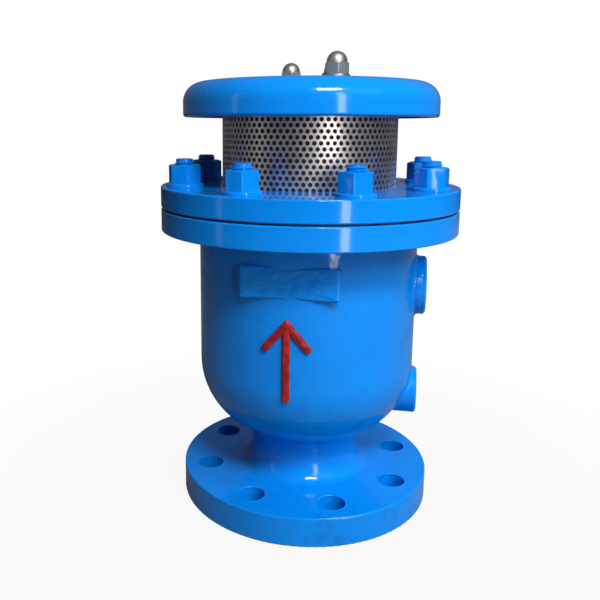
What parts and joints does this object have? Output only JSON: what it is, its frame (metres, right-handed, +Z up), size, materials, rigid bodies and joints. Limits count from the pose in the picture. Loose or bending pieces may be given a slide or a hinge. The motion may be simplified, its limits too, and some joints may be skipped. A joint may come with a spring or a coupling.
{
  "type": "air release valve",
  "caption": "Flanged pipeline air release valve with a float chamber, bolted cover, perforated guard screen and domed rain cap.",
  "frame": {"origin": "centre of the inlet flange's raised sealing face, on the valve's axis", "axes": "+Z up along the valve's axis towards the cap, -Y towards the cast pad on the front, +X towards the two plugged side bosses"},
  "size_m": [0.249, 0.249, 0.377],
  "materials": {
    "enamel": "glossy blue enamel over a sand casting",
    "gasket": "dark pressed sheet",
    "seat_rubber": "moulded, satin",
    "stainless": "bright turned or pressed stainless",
    "screen_steel": "perforated rolled stainless sheet"
  },
  "bodies": {
    "valve": {"valve_body": "enamel", "cover_gasket": "gasket", "cover_flange": "enamel", "cover_studs": "enamel", "cover_washers": "enamel", "cover_nuts": "enamel", "seat_ring": "seat_rubber", "seat_retainer": "stainless", "retainer_screws": "stainless", "float_cage": "stainless", "cage_bolts": "stainless", "screen": "screen_steel", "screen_liner": "screen_steel", "dome_cap": "enamel", "cap_studs": "stainless", "cap_lock_nuts": "stainless", "cap_washers": "stainless", "cap_dome_nuts": "stainless", "upper_port_plug": "enamel", "drain_plug": "enamel"},
    "float": {"float_upper_shell": "stainless", "float_lower_shell": "stainless"}
  },
  "joints": [
    {"name": "float_lift", "type": "slide", "parent": "valve", "child": "float", "axis": [0, 0, 1], "range_m": [0, 0.04]}
  ]
}
